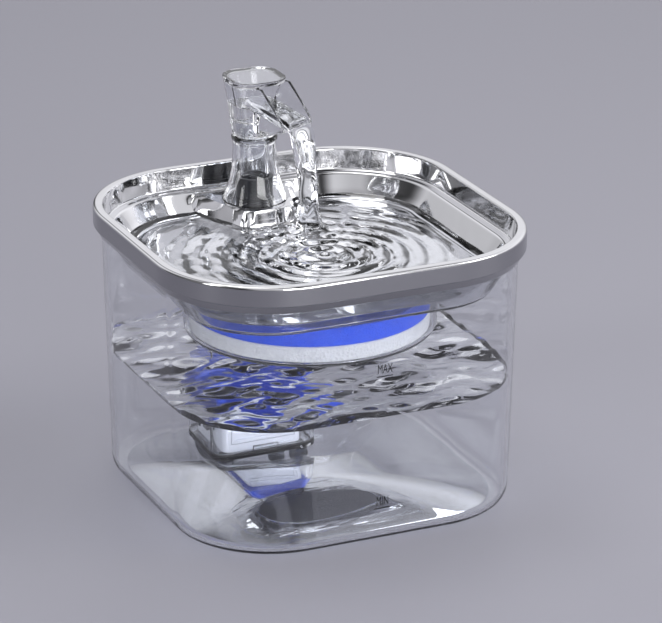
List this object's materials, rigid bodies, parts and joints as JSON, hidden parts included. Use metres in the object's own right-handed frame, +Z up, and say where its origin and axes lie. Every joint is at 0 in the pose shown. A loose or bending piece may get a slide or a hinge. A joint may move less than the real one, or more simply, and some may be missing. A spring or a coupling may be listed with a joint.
{
  "type": "pet water fountain",
  "caption": "Square clear-tank pet water fountain with a stainless drinking tray, clear flowing faucet, submersible pump, foam and cotton filter basin.",
  "frame": {"origin": "centre of the foot print on the surface the feet stand on", "axes": "+Z up, -Y the front with the level marks, +Y the back with the faucet, +X the right seen from the front"},
  "size_m": [0.19, 0.19, 0.1949],
  "materials": {
    "clear_plastic": "clear moulded, polished",
    "polished_stainless": "mirror polished inside, satin skirt",
    "white_plastic": "moulded, satin",
    "impeller_plastic": "moulded",
    "black_rubber": "moulded, matt",
    "clear_silicone": "translucent",
    "grey_silicone": "moulded, satin",
    "blue_foam": "open-cell foam",
    "white_cotton": "felted cotton",
    "ferrite_magnet": "ground",
    "shaft_steel": "ground"
  },
  "bodies": {
    "tank": {"tank": "clear_plastic", "tank_feet": "clear_plastic", "cord_grommet": "black_rubber"},
    "pump_unit": {"pump_base": "clear_plastic", "base_seal": "black_rubber", "suction_cups": "clear_silicone", "pump_body": "white_plastic", "pump_panel": "white_plastic", "outlet_pipe": "clear_plastic", "impeller_cover": "white_plastic", "impeller_shaft": "shaft_steel", "cord_gland": "black_rubber"},
    "impeller": {"impeller": "impeller_plastic", "impeller_magnet": "ferrite_magnet"},
    "regulator": {"flow_regulator": "white_plastic"},
    "pump_cover": {"pump_cover": "clear_plastic", "pump_sponge": "blue_foam"},
    "filter_box": {"filter_box": "clear_plastic", "riser_tube": "clear_plastic"},
    "filter_pads": {"filter_cotton": "white_cotton", "filter_foam": "blue_foam"},
    "tray": {"steel_tray": "polished_stainless", "tray_grommet": "clear_silicone"},
    "faucet": {"faucet_column": "clear_plastic", "faucet_stem": "clear_plastic", "stem_sleeve": "grey_silicone", "faucet_collar": "clear_plastic"},
    "spout": {"faucet_head": "clear_plastic"}
  },
  "joints": [
    {"name": "pump_lift", "type": "slide", "parent": "tank", "child": "pump_unit", "axis": [0, 0, 1], "range_m": [0, 0.13]},
    {"name": "cover_lift", "type": "slide", "parent": "pump_unit", "child": "pump_cover", "axis": [0, 0, 1], "range_m": [0, 0.082]},
    {"name": "filter_box_lift", "type": "slide", "parent": "pump_cover", "child": "filter_box", "axis": [0, 0, 1], "range_m": [0, 0.05]},
    {"name": "filter_pads_lift", "type": "slide", "parent": "filter_box", "child": "filter_pads", "axis": [0, 0, 1], "range_m": [0, 0.045]},
    {"name": "tray_lift", "type": "slide", "parent": "filter_pads", "child": "tray", "axis": [0, 0, 1], "range_m": [0, 0.03]},
    {"name": "faucet_lift", "type": "slide", "parent": "tray", "child": "faucet", "axis": [0, 0, 1], "range_m": [0, 0.014]},
    {"name": "spout_swivel", "type": "hinge", "parent": "faucet", "child": "spout", "pos_m": [0, 0.066, 0.166], "axis": [0, 0, 1], "range_deg": [-70, 50]},
    {"name": "impeller_spin", "type": "hinge", "parent": "pump_unit", "child": "impeller", "pos_m": [-0.0054, 0.06, 0.0184], "axis": [0, 1, 0], "continuous": true},
    {"name": "regulator_slide", "type": "slide", "parent": "pump_unit", "child": "regulator", "axis": [0, 1, 0], "range_m": [-0.0055, 0.0055]}
  ]
}
